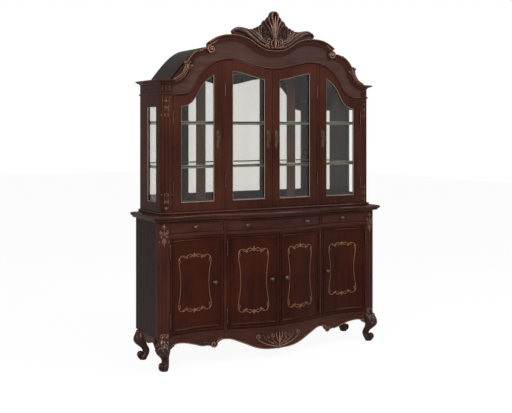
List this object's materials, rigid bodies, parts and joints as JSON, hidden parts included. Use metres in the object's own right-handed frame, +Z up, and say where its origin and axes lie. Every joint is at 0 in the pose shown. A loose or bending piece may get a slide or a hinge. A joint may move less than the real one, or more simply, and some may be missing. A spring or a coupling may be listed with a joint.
{
  "type": "china cabinet",
  "caption": "Free-standing china cabinet: glazed hutch with arched glass doors, mirror back and glass shelves, on a bow-fronted buffet with drawers, cupboards and cabriole legs.",
  "frame": {"origin": "on the floor under the middle of the cabinet's bounding box", "axes": "+Z up, doors face -Y, +X to the right for someone facing the doors"},
  "size_m": [1.656, 0.468, 2.183],
  "materials": {
    "back_board": "plain matt board",
    "carved_wood": "dark cherry with rubbed copper-gold tips",
    "case_wood": "glossy dark cherry",
    "clear_glass": "clear polished",
    "door_wood": "glossy red cherry",
    "hinge_brass": "aged",
    "inner_wood": "satin",
    "mirror_glass": "polished",
    "old_brass": "antique"
  },
  "bodies": {
    "cabinet": {"arch_bead": "case_wood", "bonnet_roof": "case_wood", "buffet_back_panel": "back_board", "buffet_corner_posts": "case_wood", "buffet_floor_board": "inner_wood", "buffet_partitions": "inner_wood", "buffet_rails": "case_wood", "buffet_sides": "case_wood", "buffet_stiles": "case_wood", "buffet_top": "case_wood", "crest_carving": "carved_wood", "cupboard_shelves": "inner_wood", "drawer_dust_boards": "inner_wood", "drawer_guides": "inner_wood", "fixed_hinge_leaves": "hinge_brass", "front_apron": "carved_wood", "front_legs": "carved_wood", "glass_shelves": "clear_glass", "hutch_back_panel": "back_board", "hutch_base_board": "case_wood", "hutch_corner_posts": "case_wood", "hutch_mullions": "case_wood", "hutch_side_frames": "case_wood", "mirror": "mirror_glass", "pediment_board": "case_wood", "pediment_moulding": "carved_wood", "rear_legs": "carved_wood", "shelf_supports": "old_brass", "side_aprons": "carved_wood", "side_cornices": "case_wood", "side_glass_panes": "clear_glass"},
    "left_outer_glass_door": {"left_outer_glass_door_frame": "door_wood", "left_outer_glass_door_pane": "clear_glass", "left_outer_glass_door_hardware": "old_brass"},
    "left_middle_glass_door": {"left_middle_glass_door_frame": "door_wood", "left_middle_glass_door_pane": "clear_glass", "left_middle_glass_door_hardware": "old_brass"},
    "left_side_cupboard_door": {"left_side_cupboard_door": "door_wood", "left_side_cupboard_hardware": "old_brass"},
    "left_middle_cupboard_door": {"left_middle_cupboard_door": "door_wood", "left_middle_cupboard_hardware": "old_brass"},
    "right_outer_glass_door": {"right_outer_glass_door_frame": "door_wood", "right_outer_glass_door_pane": "clear_glass", "right_outer_glass_door_hardware": "old_brass"},
    "right_middle_glass_door": {"right_middle_glass_door_frame": "door_wood", "right_middle_glass_door_pane": "clear_glass", "right_middle_glass_door_hardware": "old_brass"},
    "right_side_cupboard_door": {"right_side_cupboard_door": "door_wood", "right_side_cupboard_hardware": "old_brass"},
    "right_middle_cupboard_door": {"right_middle_cupboard_door": "door_wood", "right_middle_cupboard_hardware": "old_brass"},
    "left_drawer": {"left_drawer_front": "door_wood", "left_drawer_box": "inner_wood", "left_drawer_knob": "old_brass"},
    "middle_drawer": {"middle_drawer_front": "door_wood", "middle_drawer_box": "inner_wood", "middle_drawer_knobs": "old_brass"},
    "right_drawer": {"right_drawer_front": "door_wood", "right_drawer_box": "inner_wood", "right_drawer_knob": "old_brass"}
  },
  "joints": [
    {"name": "left_outer_glass_door_hinge", "type": "hinge", "parent": "cabinet", "child": "left_outer_glass_door", "pos_m": [-0.689, -0.1153, 1.3], "axis": [0, 0, -1], "range_deg": [0, 100]},
    {"name": "left_middle_glass_door_hinge", "type": "hinge", "parent": "cabinet", "child": "left_middle_glass_door", "pos_m": [-0.339, -0.1153, 1.3], "axis": [0, 0, -1], "range_deg": [0, 100]},
    {"name": "left_side_cupboard_door_hinge", "type": "hinge", "parent": "cabinet", "child": "left_side_cupboard_door", "pos_m": [-0.716, -0.1373, 0.495], "axis": [0, 0, -1], "range_deg": [0, 100]},
    {"name": "left_middle_cupboard_door_hinge", "type": "hinge", "parent": "cabinet", "child": "left_middle_cupboard_door", "pos_m": [-0.34, -0.14575, 0.495], "axis": [0, 0, -1], "range_deg": [0, 100]},
    {"name": "right_outer_glass_door_hinge", "type": "hinge", "parent": "cabinet", "child": "right_outer_glass_door", "pos_m": [0.689, -0.1153, 1.3], "axis": [0, 0, 1], "range_deg": [0, 100]},
    {"name": "right_middle_glass_door_hinge", "type": "hinge", "parent": "cabinet", "child": "right_middle_glass_door", "pos_m": [0.339, -0.1153, 1.3], "axis": [0, 0, 1], "range_deg": [0, 100]},
    {"name": "right_side_cupboard_door_hinge", "type": "hinge", "parent": "cabinet", "child": "right_side_cupboard_door", "pos_m": [0.716, -0.1373, 0.495], "axis": [0, 0, 1], "range_deg": [0, 100]},
    {"name": "right_middle_cupboard_door_hinge", "type": "hinge", "parent": "cabinet", "child": "right_middle_cupboard_door", "pos_m": [0.34, -0.14575, 0.495], "axis": [0, 0, 1], "range_deg": [0, 100]},
    {"name": "left_drawer_slide", "type": "slide", "parent": "cabinet", "child": "left_drawer", "axis": [0, -1, 0], "range_m": [0, 0.25]},
    {"name": "middle_drawer_slide", "type": "slide", "parent": "cabinet", "child": "middle_drawer", "axis": [0, -1, 0], "range_m": [0, 0.25]},
    {"name": "right_drawer_slide", "type": "slide", "parent": "cabinet", "child": "right_drawer", "axis": [0, -1, 0], "range_m": [0, 0.25]}
  ]
}
